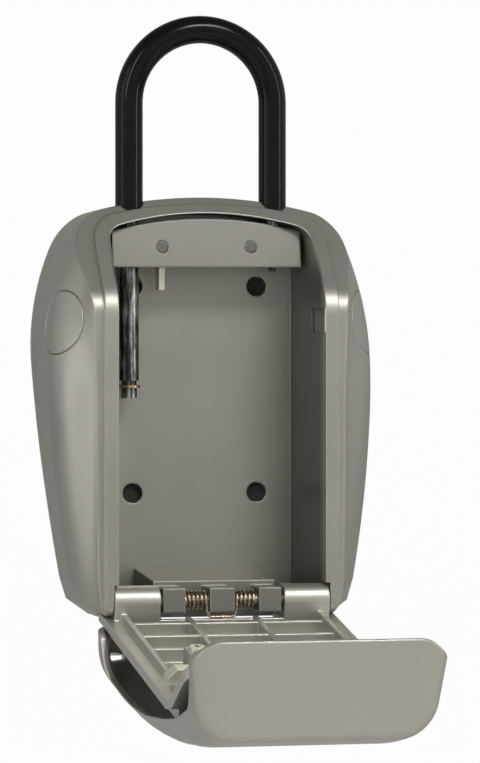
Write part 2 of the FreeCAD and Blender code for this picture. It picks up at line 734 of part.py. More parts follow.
def shackle_lock():
    """The bolt that slides into the short leg's notch, and the tab that moves it."""
    across = (leg_y - s.bolt_width / 2, leg_y + s.bolt_width / 2)
    bolt = box((-s.bolt_left, channel_end), across, (s.bolt_foot, s.bolt_foot + s.bolt_height))
    give("shackle_bolt", group(bolt))
    tab = box((-s.bolt_left, -s.bolt_left + s.release_thick),
              (leg_y - s.release_width / 2, leg_y + s.release_width / 2),
              (s.housing_bottom - s.release_drop, s.bolt_foot))
    give("shackle_release", group(tab))


def strike_pins():
    """Hardened pins in the side walls, behind which the latch bolts catch."""
    pins = []
    for side in (-1, 1):
        place = (side * (s.mouth_half + s.strike_pin_in), rim + s.strike_pin_setback)
        pins.append(round_bar("z", s.strike_pin_round, s.strike_low, s.strike_high, place))
    give("strike_pins", group(*pins))


def in_front(depth):
    """The depth of something in front of the rim."""
    return rim - depth


pan_front = in_front(s.pan_floor + s.pan_plate)
floor_face = in_front(s.pan_floor)
opening_half = s.dial_step * (s.dial_count - 1) / 2 + s.dial_width / 2 + 1.0
boss_end = s.axle_half


def door_tray():
    """The cast door: a flange over the case's lip, a ribbed pan and two hinge arms."""
    arch = arched_prism(s.flange_half, s.tray_foot, s.tray_shoulder, s.tray_crown,
                        rim - 60, rim + 60)
    corners = [edge for edge in arch.Edges if abs(edge.BoundBox.ZMin - float(s.tray_shoulder)) < 1e-6
               and edge.BoundBox.YLength > 1]
    arch = arch.makeFillet(float(s.tray_round), corners)
    flange = sheet_between(-s.door_gap - s.flange_thick, -s.door_gap).common(arch)
    inner_half = s.pan_half - s.pan_wall
    rise = in_front(s.door_gap)
    pan = box((-s.pan_half, s.pan_half), (pan_front, rise), (-s.tray_foot + 2.5, s.pan_head))
    arm_outer = s.arm_end
    arms = []
    for side in (-1, 1):
        span = (s.arm_inner, arm_outer) if side > 0 else (-arm_outer, -s.arm_inner)
        arms.append(box(span, (floor_face - 1, hinge_y),
                        (hinge_z - s.barrel_round, hinge_z + s.barrel_round)))
        arms.append(round_bar("x", s.barrel_round, span[0], span[1], (hinge_y, hinge_z)))
    pocket = box((-inner_half, inner_half), (floor_face, rim + 6),
                 (-s.hinge_bay_head + s.pan_wall, s.pan_head - s.pan_wall))
    bay = box((-s.hinge_bay_half, s.hinge_bay_half), (floor_face, rim + 6),
              (-s.tray_foot - 1, -s.hinge_bay_head))
    shell = cut(fuse(shaped(flange), pan), pocket, bay)

    ribs = []
    for side in (-1, 1):
        span = (inner_half - s.rib_thick, inner_half)
        span = span if side > 0 else (-span[1], -span[0])
        ribs.append(box(span, (floor_face - 0.5, rim + s.side_rib_lift),
                        (-s.hinge_bay_head + 1, s.strike_low - 0.6)))
        middle = side * s.long_rib_half
        ribs.append(box((middle - s.rib_thick / 2, middle + s.rib_thick / 2),
                        (floor_face - 0.5, rim + s.cross_rib_lift),
                        (-s.hinge_bay_head + 0.5, -s.plate_foot - 0.3)))
        boss = (boss_end - 2.4, boss_end)
        boss = boss if side > 0 else (-boss[1], -boss[0])
        ribs.append(box(boss, (in_front(s.dial_depth + 2.8), in_front(s.dial_depth - 2.8)),
                        (s.dial_height - 2.8, s.dial_height + 2.8)))
        lug = (s.lug_inner, s.cover_pin_half)
        lug = lug if side > 0 else (-lug[1], -lug[0])
        ribs.append(box(lug, (cover_pin_y, pan_front + 0.5),
                        (-s.cover_pin_height - s.cover_knuckle, -s.cover_pin_height + 4.5)))
        ribs.append(round_bar("x", s.cover_knuckle, lug[0], lug[1], (cover_pin_y, cover_pin_z)))
    for count in range(3):
        height = -s.cross_rib_first + count * s.cross_rib_step
        ribs.append(box((-inner_half, inner_half), (floor_face - 0.5, rim + s.cross_rib_lift),
                        (height - s.rib_thick / 2, height + s.rib_thick / 2)))
    whole = fuse(shell, *arms, *ribs)
    tools = [round_bar("x", s.hinge_pin_round + s.run_gap, -s.hinge_pin_half, s.hinge_pin_half,
                       (hinge_y, hinge_z)),
             round_bar("x", s.cover_pin_round + s.run_gap / 2, -s.cover_pin_half - 1,
                       s.cover_pin_half + 1, (cover_pin_y, cover_pin_z)),
             box((-opening_half, opening_half), (pan_front - 1, floor_face + 1),
                 (s.dial_height - s.dial_round - 0.8, s.dial_height + s.dial_round + 0.8)),
             round_bar("x", s.axle_round + s.run_gap / 2, -boss_end - 1, boss_end + 1,
                       (in_front(s.dial_depth), s.dial_height))]
    for side in (-1, 1):
        for height in plate_screw_heights:
            place = (side * plate_screw_x, height)
            tools.append(round_bar("y", s.plate_screw_round + s.run_gap, pan_front - 1,
                                   floor_face + 1, place))
    swing("door_tray", cut(whole, *tools))


cover_pin_y = in_front(s.cover_pin_depth)
cover_pin_z = -s.cover_pin_height
plate_screw_x = s.plate_half - s.plate_screw_inset
plate_screw_heights = (-s.plate_foot + s.plate_screw_inset, s.dial_height + 9.6)
plate_face = rim + s.plate_top


def dials():
    """Number dials on one axle, each on its own cam hub."""
    middle = in_front(s.dial_depth)
    for index in range(int(s.dial_count.number)):
        place = s.dial_step * (index - (s.dial_count.number - 1) / 2)
        ring = round_bar("x", s.dial_round, place - s.dial_width / 2, place + s.dial_width / 2,
                         (middle, s.dial_height))
        bore = round_bar("x", s.cam_round + s.run_gap / 2, place - s.dial_width, place + s.dial_width,
                         (middle, s.dial_height))
        notches = []
        for turn in range(10):
            angle = math.radians(36 * turn + 18)
            notches.append(round_bar("x", s.dial_notch, place - s.dial_width, place + s.dial_width,
                                     (middle + s.dial_round * math.cos(angle),
                                      s.dial_height + s.dial_round * math.sin(angle))))
        swing("dial_%d" % (index + 1), cut(ring, bore, *notches))
        hub = round_bar("x", s.cam_round, place - s.cam_width / 2, place + s.cam_width / 2,
                        (middle, s.dial_height))
        hole = round_bar("x", s.axle_round + s.run_gap, place - s.cam_width, place + s.cam_width,
                         (middle, s.dial_height))
        gate = box((place + s.dial_width / 2, place + s.cam_width), (middle, middle + s.cam_round),
                   (s.dial_height - s.cam_slot / 2, s.dial_height + s.cam_slot / 2))
        swing("dial_cam_%d" % (index + 1), cut(hub, hole, gate))
    swing("dial_axle", round_bar("x", s.axle_round, -s.axle_half, s.axle_half,
                                 (middle, s.dial_height)))
    leaf = box((-opening_half, opening_half),
               (plate_face - s.plate_wall - s.detent_thick, plate_face - s.plate_wall),
               (s.dial_height - s.detent_width / 2, s.dial_height + s.detent_width / 2))
    swing("dial_detent", leaf)


def dial_housing():
    """The front moulding with the dial window and the opening slide's slot."""
    wall = s.bezel_wall
    outer = box((-s.bezel_half, s.bezel_half), (in_front(s.bezel_front), pan_front),
                (-s.bezel_foot, s.bezel_head))
    hollow = box((-s.bezel_half + wall, s.bezel_half - wall),
                 (in_front(s.bezel_front - wall), pan_front + 1),
                 (-s.bezel_foot + wall, s.bezel_head - wall))
    window = box((-opening_half + 0.4, opening_half - 0.4),
                 (in_front(s.bezel_front + 1), in_front(s.bezel_front - wall - 0.5)),
                 (s.dial_height - s.window_half_height, s.dial_height + s.window_half_height))
    slot = box((-s.stem_half - s.slide_gap, s.stem_half + s.slide_gap),
               (in_front(s.bezel_front + 1), in_front(s.bezel_front - wall - 0.5)),
               (s.slider_height - s.stem_tall / 2 - s.slider_travel - s.slide_gap,
                s.slider_height + s.stem_tall / 2 + s.slide_gap))
    swing("dial_housing", cut(outer, hollow, window, slot))


def opening_slide():
    """The slide that is pushed down to draw both latch bolts in."""
    face = in_front(s.bezel_front + s.seat_gap)
    pad = box((-s.slider_half, s.slider_half), (face - s.slider_lift, face),
              (s.slider_height - s.slider_tall / 2, s.slider_height + s.slider_tall / 2))
    levels = (s.slider_height - s.stem_tall / 2, s.slider_height + s.stem_tall / 2)
    stem = box((-s.stem_half, s.stem_half), (face - 0.2, in_front(s.bezel_front - 4.4)), levels)
    yoke = box((-s.slider_half - 3, s.slider_half + 3),
               (in_front(s.bezel_front - s.bezel_wall - s.slide_gap), in_front(s.bezel_front - 4.4)),
               levels)
    swing("opening_slide", fuse(pad, stem, yoke))


def latch_bolts():
    """Two bolts that spring out sideways behind the strike pins."""
    levels = (s.latch_foot, s.latch_foot + s.latch_tall)
    low = floor_face + s.slide_gap
    for side, node in ((-1, "left"), (1, "right")):
        def across(first, last):
            return (first, last) if side > 0 else (-last, -first)
        bar = box(across(s.latch_inner, s.latch_body_end), (low, rim + s.latch_bar_rise), levels)
        head = box(across(s.latch_head_in, s.latch_body_end), (low, rim + s.latch_rise), levels)
        root, tip = side * (s.latch_body_end - 0.5), side * s.latch_nose_end
        front, back = rim + s.latch_nose_low, rim + s.latch_rise
        nose = prism([(root, front), (tip, front), (tip, back - s.latch_bevel),
                      (tip - side * s.latch_bevel, back), (root, back)], [0] * 5, *levels, "z")
        swing("latch_bolt_" + node, fuse(bar, head, shaped(nose, "LatchNose")))
        height = s.latch_foot + s.latch_tall / 2
        middle = low + s.latch_spring_round + 0.6
        small_coil("latch_spring_" + node, (side * 1.5, middle, height),
                   (side * (s.latch_inner - 0.05), middle, height),
                   s.latch_spring_round, s.latch_spring_wire, 8)


def lock_plate():
    """The inner cover over the dials and bolts, its screws and the code reset lever."""
    wall = s.plate_wall
    head = s.pan_head - s.pan_wall - 0.3
    outer = box((-s.plate_half, s.plate_half), (floor_face, plate_face), (-s.plate_foot, head))
    hollow = box((-s.plate_half + wall, s.plate_half - wall), (floor_face - 1, plate_face - wall),
                 (-s.plate_foot + wall, head - wall))
    slots = box((-s.plate_half - 1, s.plate_half + 1), (floor_face - 1, rim + s.latch_bar_rise + 0.3),
                (s.latch_foot - s.slide_gap, s.latch_foot + s.latch_tall + s.slide_gap))
    axle = box((-s.plate_half - 1, s.plate_half + 1),
               (floor_face - 1, in_front(s.dial_depth - 2.8 - s.seat_gap)),
               (s.dial_height - 2.8 - s.seat_gap, s.dial_height + 2.8 + s.seat_gap))
    rib = box((-1.2, 1.2), (floor_face, plate_face - wall),
              (s.latch_foot - s.slide_gap, head - 0.5))
    tools = [hollow, slots, axle]
    holes = []
    screws = []
    for side in (-1, 1):
        for height in plate_screw_heights:
            place = (side * plate_screw_x, height)
            holes.append(round_bar("y", s.plate_screw_round + s.run_gap, floor_face - 1,
                                   plate_face + 1, place))
            shank = round_bar("y", s.plate_screw_round, pan_front + 0.3, plate_face + 0.2, place)
            cap = round_bar("y", s.plate_screw_head, plate_face, plate_face + 1.0, place)
            screws.append(fuse(shank, cap))
    pivot = (s.reset_x, s.reset_height)
    holes.append(round_bar("y", s.reset_round / 2 + s.run_gap, plate_face - wall - 1, plate_face + 1,
                           pivot))
    swing("lock_plate", cut(fuse(cut(outer, *tools), rib), *holes))
    swing("lock_plate_screws", group(*screws))
    low = plate_face + s.slide_gap
    hub = round_bar("y", s.reset_round, low, low + s.reset_thick, pivot)
    stub = round_bar("y", s.reset_round / 2, plate_face - wall, low + 0.5, pivot)
    arm = box((s.reset_x - s.reset_reach, s.reset_x), (low, low + s.reset_thick),
              (s.reset_height - s.reset_round / 2, s.reset_height + s.reset_round / 2))
    swing("reset_lever", fuse(hub, stub, arm))


# The cover's side edge, shut: setback from the rim (in front is negative) and height
COVER_EDGE = [(-4.0, -74.0, 0), (-4.0, -66.0, 0), (-3.6, -55.5, 3), (-15.6, -48.5, 7),
              (-18.2, -33.0, 20), (-14.2, -5.0, 40), (-8.0, 19.9, 40), (-2.8, 36.5, 20),
              (4.0, 50.3, 8), (14.0, 54.2, 8)]


def cover_solid(inset):
    """The cover's outside, or its hollow when set in by the wall."""
    low_half, top_half, radius = plain(s.cover_low_half, s.cover_top_half, s.cover_round)
    foot, head = -float(s.cover_foot) + inset, float(s.cover_head) - inset
    back = float(rim + s.cover_reach)
    front = [Vector(0, *plain(rim - depth, height)) for depth, height in (
        (s.cover_low_front, -s.cover_low_height), (s.cover_mid_front, -s.cover_mid_height),
        (s.cover_high_front, s.cover_high_height))]
    ring = Part.Circle(*front)
    centre, bend = ring.Center, ring.Radius - inset
    low, middle = [centre + (point - centre).normalize() * bend for point in front[:2]]
    high = Vector(0, centre.y - math.sqrt(bend ** 2 - (head - centre.z) ** 2), head)
    fall = Vector(1, 0, 0).cross(low - centre).normalize()
    fall = fall if fall.z < 0 else fall * -1
    corner = low + fall * ((foot - low.z) / fall.z)
    start = corner + Vector(0, (corner - low).Length, 0)
    edges = [Part.LineSegment(Vector(0, back, foot), start).toShape(),
             corner_arc(start, corner, low),
             Part.Arc(low, middle, high).toShape(),
             Part.LineSegment(high, Vector(0, back, head)).toShape(),
             Part.LineSegment(Vector(0, back, head), Vector(0, back, foot)).toShape()]
    profile = Part.Face(Part.Wire(edges))
    profile.translate(Vector(-WIDE / 2, 0, 0))
    side = profile.extrude(Vector(WIDE, 0, 0))
    narrow = back - float(rim - s.cover_low_front)
    beyond = narrow + WIDE / 4

    def plan(widest, draft, height):
        half = widest - inset
        small = half - draft * beyond / narrow
        return Part.makePolygon([Vector(x, y, height) for x, y in (
            (-small, back - beyond), (small, back - beyond), (half, back), (-half, back),
            (-small, back - beyond))])

    waist_half, waist, low_draft, top_draft = plain(
        s.cover_waist_half, s.cover_waist_height, s.cover_draft, s.cover_top_draft)
    outline = Part.makeLoft([plan(low_half, low_draft, foot), plan(waist_half, low_draft, waist),
                             plan(top_half, top_draft, head)], True, True)
    solid = side.common(outline)
    long_edges = [edge for edge in solid.Edges
                  if edge.BoundBox.ZLength > 4 and edge.CenterOfMass.y < float(rim)]
    solid = solid.makeFillet(radius - inset, long_edges)
    top = [edge for edge in solid.Edges if edge.BoundBox.ZMin > head - 1e-3
           and edge.CenterOfMass.y < back - 1]
    return solid.makeFillet(float(s.cover_head_round) - inset / 2, top)


def weather_cover():
    """The scoop-shaped cover that shuts over the dials and the case's head."""
    shell = cover_solid(0.0).cut(cover_solid(float(s.cover_wall)))
    edge = [(float(rim) + y, z) for y, z, radius in COVER_EDGE]
    rounds = [radius for y, z, radius in COVER_EDGE]
    far = float(rim) + 40
    outline = [(float(rim) - 60, -74.0)] + edge + [(far, 54.8), (far, 90.0), (float(rim) - 60, 90.0)]
    shell = shell.common(prism(outline, [0] + rounds + [0] * 3, -60, 60))
    half, end = plain(s.cover_low_half + 5, rim + s.cover_end)
    plan = closed_wire([Vector(-half, end - WIDE, -TALL / 2), Vector(half, end - WIDE, -TALL / 2),
                        Vector(float(s.cover_end_half), end, -TALL / 2),
                        Vector(-float(s.cover_end_half), end, -TALL / 2)],
                       [0, 0] + [float(s.cover_end_round)] * 2)
    shell = shell.common(Part.Face(plan).extrude(Vector(0, 0, TALL)))
    shell = shell.cut(behind(-s.cover_gap))
    tools = []
    straps = []
    for side in (-1, 1):
        def across(first, last):
            return (first, last) if side > 0 else (-last, -first)
        tools.append(box(across(s.lug_inner - 0.3, s.cover_pin_half + 0.3),
                         (cover_pin_y - 2.8, rim + 0.1), (-s.cover_foot - 6, -s.cover_foot + 7)))
        span = across(s.strap_inner, s.lug_inner - 0.3)
        straps.append(round_bar("x", s.cover_knuckle, span[0], span[1], (cover_pin_y, cover_pin_z)))
        straps.append(box(span, (cover_pin_y - s.strap_front, cover_pin_y),
                          (cover_pin_z, cover_pin_z + s.strap_rise)))
    pin_hole = round_bar("x", s.cover_pin_round + s.run_gap, -s.cover_pin_half - 1,
                         s.cover_pin_half + 1, (cover_pin_y, cover_pin_z))
    tools.append(box((s.seat_gap - s.lug_inner, s.lug_inner - s.seat_gap),
                     (in_front(s.cover_foot_gap), rim), (-s.cover_foot - 6, -s.cover_foot + 7)))
    body = cut(shaped(shell, "CoverShell"), *tools)
    swing("weather_cover", cut(fuse(body, *straps), pin_hole))
    swing("cover_pin", round_bar("x", s.cover_pin_round, -s.cover_pin_half, s.cover_pin_half,
                                 (cover_pin_y, cover_pin_z)))


side_plugs(back_case())
strike_pins()
hinge_block()
door_spring()
lock_housing()
lock_bar()
shackle()
shackle_lock()
door_tray()
dial_housing()
dials()
opening_slide()
latch_bolts()
lock_plate()
weather_cover()

doc.recompute()

faults = [item.Label for item in doc.Objects if {"Invalid", "Error"} & set(item.State)]
for node, item in outputs.items():
    if item.Shape.isNull() or not item.Shape.isValid() or not item.Shape.Solids:
        faults.append(node)
if faults:
    raise SystemExit("faulty: " + ", ".join(faults))

os.makedirs("parts", exist_ok=True)
for node, item in outputs.items():
    item.Shape.exportStep("parts/%s.step" % node)
print("%d sub-parts written" % len(outputs))
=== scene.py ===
import bpy
import math
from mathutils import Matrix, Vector


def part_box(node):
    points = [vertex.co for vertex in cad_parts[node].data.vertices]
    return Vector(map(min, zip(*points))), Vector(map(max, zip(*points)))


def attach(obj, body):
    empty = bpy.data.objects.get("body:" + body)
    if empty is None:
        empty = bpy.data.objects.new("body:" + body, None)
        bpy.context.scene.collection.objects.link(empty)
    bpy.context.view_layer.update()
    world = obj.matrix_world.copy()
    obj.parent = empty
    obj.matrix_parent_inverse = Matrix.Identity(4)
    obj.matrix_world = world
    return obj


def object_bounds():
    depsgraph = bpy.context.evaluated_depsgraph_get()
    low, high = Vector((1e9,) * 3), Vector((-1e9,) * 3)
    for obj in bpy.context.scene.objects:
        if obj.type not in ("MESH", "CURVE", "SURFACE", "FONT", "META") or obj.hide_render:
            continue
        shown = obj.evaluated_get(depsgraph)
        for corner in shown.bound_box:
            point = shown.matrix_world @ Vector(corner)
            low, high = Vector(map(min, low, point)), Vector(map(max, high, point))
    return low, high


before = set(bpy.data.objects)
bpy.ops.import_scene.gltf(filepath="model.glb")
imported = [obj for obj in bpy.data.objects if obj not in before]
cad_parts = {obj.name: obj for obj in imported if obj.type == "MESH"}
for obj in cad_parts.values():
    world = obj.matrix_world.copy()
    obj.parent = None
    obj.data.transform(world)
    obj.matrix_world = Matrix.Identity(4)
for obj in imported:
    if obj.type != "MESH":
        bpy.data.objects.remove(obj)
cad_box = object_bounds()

# Cast case: zinc pressure casting with a satin metallic paint, screwed to the wall from inside.
# The paint is a fine flake in a warm grey, paler along the lip and edges as wear and painted highlight,
# and the compartment's side walls are darkened to a near-black as painted shade.


class Wire:
    """A node output that can be used in plain arithmetic."""

    def __init__(self, owner, socket):
        self.owner = owner
        self.socket = socket

    def maths(self, operation, other=None, turned=False):
        inputs = [self] if other is None else [self, other]
        if turned:
            inputs.reverse()
        return self.owner.node("ShaderNodeMath", {"operation": operation}, dict(enumerate(inputs)))

    def __abs__(self):
        return self.maths("ABSOLUTE")

    def __add__(self, other):
        return self.maths("ADD", other)

    def __sub__(self, other):
        return self.maths("SUBTRACT", other)

    def __rsub__(self, other):
        return self.maths("SUBTRACT", other, turned=True)

    def __mul__(self, other):
        return self.maths("MULTIPLY", other)

    __radd__ = __add__
    __rmul__ = __mul__


class Paint:
    """One material: a Principled shader and what varies over the surface."""

    def __init__(self, name, **plain):
        self.material = bpy.data.materials.new(name)
        self.material.use_nodes = True
        self.tree = self.material.node_tree
        self.shader = self.tree.nodes["Principled BSDF"]
        for socket, value in plain.items():
            self.shader.inputs[socket.replace("_", " ")].default_value = value
        self.place = self.node("ShaderNodeTexCoord", {}, {}, "Object")

    def node(self, kind, settings, inputs, output=0):
        """Adds a node with its settings and inputs, and gives the wire out of one output."""
        made = self.tree.nodes.new(kind)
        for name, value in settings.items():
            setattr(made, name, value)
        for name, value in inputs.items():
            if isinstance(value, Wire):
                self.tree.links.new(value.socket, made.inputs[name])
            else:
                made.inputs[name].default_value = value
        return Wire(self, made.outputs[output])

    def noise(self, scale, detail=3.0, rough=0.5, stretch=None):
        place = self.place
        if stretch is not None:
            place = self.node("ShaderNodeMapping", {}, {"Vector": place, "Scale": stretch})
        return self.node("ShaderNodeTexNoise", {},
                         {"Vector": place, "Scale": scale, "Detail": detail, "Roughness": rough}, "Fac")

    def ramp(self, wire, low, high):
        """0 below low, 1 above high, eased between."""
        return self.node("ShaderNodeMapRange", {"interpolation_type": "SMOOTHSTEP"},
                         {"Value": wire, "From Min": low, "From Max": high}, "Result")

    def band(self, wire, rise, fall):
        """1 between two ramps: it rises over the first pair of numbers and falls over the second."""
        return self.ramp(wire, *rise) * (1 - self.ramp(wire, *fall))

    def mix(self, mask, first, second):
        """The first colour where the mask is 0, the second where it is 1."""
        first, second = (c if isinstance(c, Wire) else (*c, 1.0) for c in (first, second))
        colour_a, colour_b, colour_result = 6, 7, 2
        return self.node("ShaderNodeMix", {"data_type": "RGBA"},
                         {0: mask, colour_a: first, colour_b: second}, colour_result)

    def split(self, wire):
        parts = self.node("ShaderNodeSeparateXYZ", {}, {0: wire})
        return [Wire(self, output) for output in parts.socket.node.outputs]

    def soft_normal(self, radius):
        """The surface normal with each edge rounded over a radius."""
        return self.node("ShaderNodeBevel", {"samples": 6}, {"Radius": radius})

    def bend(self, soft):
        """How far a softened normal leans away from the true one: 0 on a flat face."""
        true = self.node("ShaderNodeNewGeometry", {}, {}, "Normal")
        return 1 - self.node("ShaderNodeVectorMath", {"operation": "DOT_PRODUCT"},
                             {0: soft, 1: true}, "Value")

    def feed(self, **wires):
        for socket, wire in wires.items():
            self.tree.links.new(wire.socket, self.shader.inputs[socket.replace("_", " ")])

    def bump(self, height, distance, strength, normal=None):
        inputs = {"Height": height, "Distance": distance, "Strength": strength}
        if normal is not None:
            inputs["Normal"] = normal
        self.feed(Normal=self.node("ShaderNodeBump", {}, inputs))

    def on(self, *nodes):
        for node in nodes:
            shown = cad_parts[node] if isinstance(node, str) else node
            shown.data.materials.clear()
            shown.data.materials.append(self.material)


def cast_paint(name, colour, wear_highlight_colour, grain=1.0, edge=0.0007):
    """Satin paint over a zinc casting: fine flake, faint orange peel, paler edges as wear and painted
    highlight.
    """
    peel_height = 0.00005 * grain
    shaded = tuple(channel * 0.93 for channel in colour)
    paint = Paint(name, IOR=1.5, Coat_Roughness=0.28)
    clouds = paint.noise(scale=38, detail=4, rough=0.55)
    flake = paint.noise(scale=5200, detail=2, rough=0.6)
    peel = paint.noise(scale=900, detail=3, rough=0.55)
    chips = paint.noise(scale=420, detail=4, rough=0.65)
    soft = paint.soft_normal(edge)
    # Edges turn paler and more metallic: partly wear, partly a painted highlight along the lip and
    # edges.
    wear_and_highlight = paint.ramp(paint.bend(soft) * (0.6 + 0.9 * chips), 0.04, 0.34)
    base = paint.mix(paint.ramp(clouds * 0.8 + flake * 0.25, 0.3, 0.75), shaded, colour)
    paint.colour = paint.mix(wear_and_highlight * 0.85, base, wear_highlight_colour)
    paint.feed(Base_Color=paint.colour,
               Roughness=0.31 + 0.12 * clouds + 0.08 * flake - 0.06 * wear_and_highlight,
               Metallic=0.80 + 0.12 * wear_and_highlight,
               Coat_Weight=0.14 - 0.10 * wear_and_highlight)
    paint.bump(peel * 0.7 + flake * 0.3, peel_height, 0.5, soft)
    return paint


case_paint = cast_paint("satin zinc paint", (0.405, 0.397, 0.343), (0.66, 0.65, 0.60))
across, deep, tall = case_paint.split(case_paint.place)
wall_inner, wall_outer = (0.0296, 0.0303), (0.0324, 0.0326)
mouth_edge, back_edge = (-0.0405, -0.0340), (-0.0034, -0.0028)
head_slope = (0.030, 0.048)
# The compartment's inner side walls, inside the mouth and below the head slope, are darkened towards
# near-black: painted shade.
side_wall_shade_colour, side_wall_shade_share = (0.085, 0.083, 0.068), 0.8
side_wall_shade_mask = case_paint.band(abs(across), wall_inner, wall_outer)
side_wall_shade_mask = side_wall_shade_mask * case_paint.band(deep, mouth_edge, back_edge)
side_wall_shade_mask = side_wall_shade_mask * (1 - case_paint.ramp(tall, *head_slope))
case_paint.feed(Base_Color=case_paint.mix(side_wall_shade_mask * side_wall_shade_share, case_paint.colour, side_wall_shade_colour))
case_paint.on("back_case", "side_plug_left", "side_plug_right")


# Wall holes: four thin near-black discs at the back ends of the screw holes, painted shade that keeps
# the holes dark where the white paper would show through.
class Pattern(Paint):
    """A geometry tree that repeats a small shape, with its sizes as named inputs."""

    def __init__(self, name, **sizes):
        self.name = name
        self.tree = bpy.data.node_groups.new(name, "GeometryNodeTree")
        self.tree.interface.new_socket("Geometry", in_out="OUTPUT", socket_type="NodeSocketGeometry")
        made = {size: self.tree.interface.new_socket(size, in_out="INPUT", socket_type="NodeSocketFloat")
                for size in sizes}
        entry = self.tree.nodes.new("NodeGroupInput")
        self.size = {size: Wire(self, entry.outputs[size]) for size in sizes}
        self.values = {made[size].identifier: value for size, value in sizes.items()}

    def corners(self):
        """The four corners of a flat rectangle, from the inputs across and tall."""
        return self.node("GeometryNodeMeshGrid", {}, {"Size X": self.size["across"],
                         "Size Y": self.size["tall"], "Vertices X": 2, "Vertices Y": 2})

    def repeat(self, points, shape, place, turn):
        copies = self.node("GeometryNodeInstanceOnPoints", {}, {"Points": points, "Instance": shape})
        return self.node("GeometryNodeTransform", {},
                         {"Geometry": copies, "Translation": place, "Rotation": turn})

    def grow(self, geometry, paint, body):
        """Makes the pattern a plain mesh with its paint, which rides on a body."""
        solid = self.node("GeometryNodeRealizeInstances", {}, {"Geometry": geometry})
        solid = self.node("GeometryNodeSetMaterial", {},
                          {"Geometry": solid, "Material": paint.material})
        self.tree.links.new(solid.socket, self.tree.nodes.new("NodeGroupOutput").inputs[0])
        piece = bpy.data.objects.new(self.name, bpy.data.meshes.new(self.name))
        bpy.context.scene.collection.objects.link(piece)
        growth = piece.modifiers.new(self.name, "NODES")
        growth.node_group = self.tree
        for identifier, value in self.values.items():
            growth[identifier] = value
        grown = piece.evaluated_get(bpy.context.evaluated_depsgraph_get())
        mesh = bpy.data.meshes.new_from_object(grown)
        piece.modifiers.remove(growth)
        piece.data = mesh
        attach(piece, body)


# Near-black with a faint mottle: painted shade for the inside of the wall holes.
black = Paint("black hole shade", IOR=1.46)
dust = black.noise(scale=1800, detail=3, rough=0.6)
black.feed(Base_Color=black.mix(dust, (0.010, 0.010, 0.009), (0.030, 0.029, 0.026)),
           Roughness=0.55 + 0.2 * dust)
black.bump(dust, 0.00004, 0.5)
quarter = math.radians(90)
disc_place, disc_turn, disc_sides = (0, -0.0005, 0), (quarter, 0, 0), 32
discs = Pattern("wall_hole_shade_discs", across=0.0395, tall=0.064, radius=0.00305, thick=0.0006)
disc = discs.node("GeometryNodeMeshCylinder", {}, {"Vertices": disc_sides,
                  "Radius": discs.size["radius"], "Depth": discs.size["thick"]})
discs.grow(discs.repeat(discs.corners(), disc, disc_place, disc_turn), black, "case")

# Hinge block and lock housing: the same casting left in a thinner, darker coat.
# The block is screwed to the case's foot and carries the hinge pin in its knuckles.
block_paint = cast_paint("thin zinc paint", (0.270, 0.264, 0.228), (0.62, 0.61, 0.56), grain=1.4)
block_paint.on("hinge_block", "lock_housing")
# The lock bar and its rivets wear the casting paint at about half the case's colour: painted shade on
# the leaning bar.
bar_shade_paint = cast_paint("lock bar shaded paint", (0.200, 0.196, 0.170), (0.50, 0.49, 0.44))
bar_shade_paint.on("lock_bar", "lock_bar_rivets")

# Door tray, lock plate and cover: castings in the case's own paint, hung from the hinge pin.
# The tray's inner ribs are rougher than the cover's show face.
# One long rib carries a near-white patch near its end, fading out with distance from that point.
hinge_place = Vector((0, -0.037, -0.063))
door_turn = math.radians(101.3)


def opened(x, y, z):
    """Where a point of the shut door lies in the open pose."""
    arm = Vector((x, y, z)) - hinge_place
    return hinge_place + Vector((arm.x, arm.y * math.cos(door_turn) - arm.z * math.sin(door_turn),
                                 arm.y * math.sin(door_turn) + arm.z * math.cos(door_turn)))


tray_paint = cast_paint("tray paint", (0.56, 0.55, 0.49), (0.86, 0.85, 0.79), grain=1.6)
# A near-white patch around this point on one rib, its edge broken up by a stretched noise.
pale_patch_rib = tuple(opened(-0.011, -0.0413, -0.012))
pale_patch_fade = 38
away = tray_paint.node("ShaderNodeVectorMath", {"operation": "DISTANCE"},
                       {0: tray_paint.place, 1: pale_patch_rib}, "Value")
patch_grain = tray_paint.noise(scale=1500, detail=4, rough=0.7, stretch=(1, 0.35, 1))
pale_patch = tray_paint.ramp(patch_grain - away * pale_patch_fade, 0.30, 0.42)
tray_paint.feed(Base_Color=tray_paint.mix(pale_patch, tray_paint.colour, (0.90, 0.90, 0.88)))
tray_paint.on("door_tray", "lock_plate")
cover_paint = cast_paint("cover paint", (0.475, 0.455, 0.400), (0.70, 0.68, 0.62), edge=0.001)
cover_paint.on("weather_cover")


# Shackle: a bent steel rod, oiled and dull on its long leg, in a glossy black vinyl sleeve.
# The sleeve is shrunk over the arch and stops at the case's head.
sleeve = Paint("black vinyl", IOR=1.42, Specular_IOR_Level=0.22)
haze = sleeve.noise(scale=120, detail=3, rough=0.6)
sleeve.feed(Base_Color=sleeve.mix(haze, (0.003, 0.003, 0.003), (0.007, 0.007, 0.006)),
            Roughness=0.09 + 0.12 * haze)
sleeve.bump(sleeve.noise(scale=260, detail=2), 0.00008, 0.25)
sleeve.on("shackle_sleeve")

rod = Paint("oiled steel", IOR=2.2)
drawn = rod.noise(scale=900, detail=4, rough=0.6, stretch=(1, 1, 0.07))
stain = rod.noise(scale=330, detail=5, rough=0.66, stretch=(1, 1, 0.35))
bright = rod.ramp(drawn * 0.5 + stain * 0.6, 0.48, 0.72)
rod.feed(Base_Color=rod.mix(bright, (0.05, 0.053, 0.048), (0.66, 0.68, 0.65)),
         Metallic=0.86 + 0.1 * stain, Roughness=0.14 + 0.24 * drawn + 0.12 * stain)
rod.bump(drawn + stain, 0.00012, 0.5)
rod.on("shackle_rod")

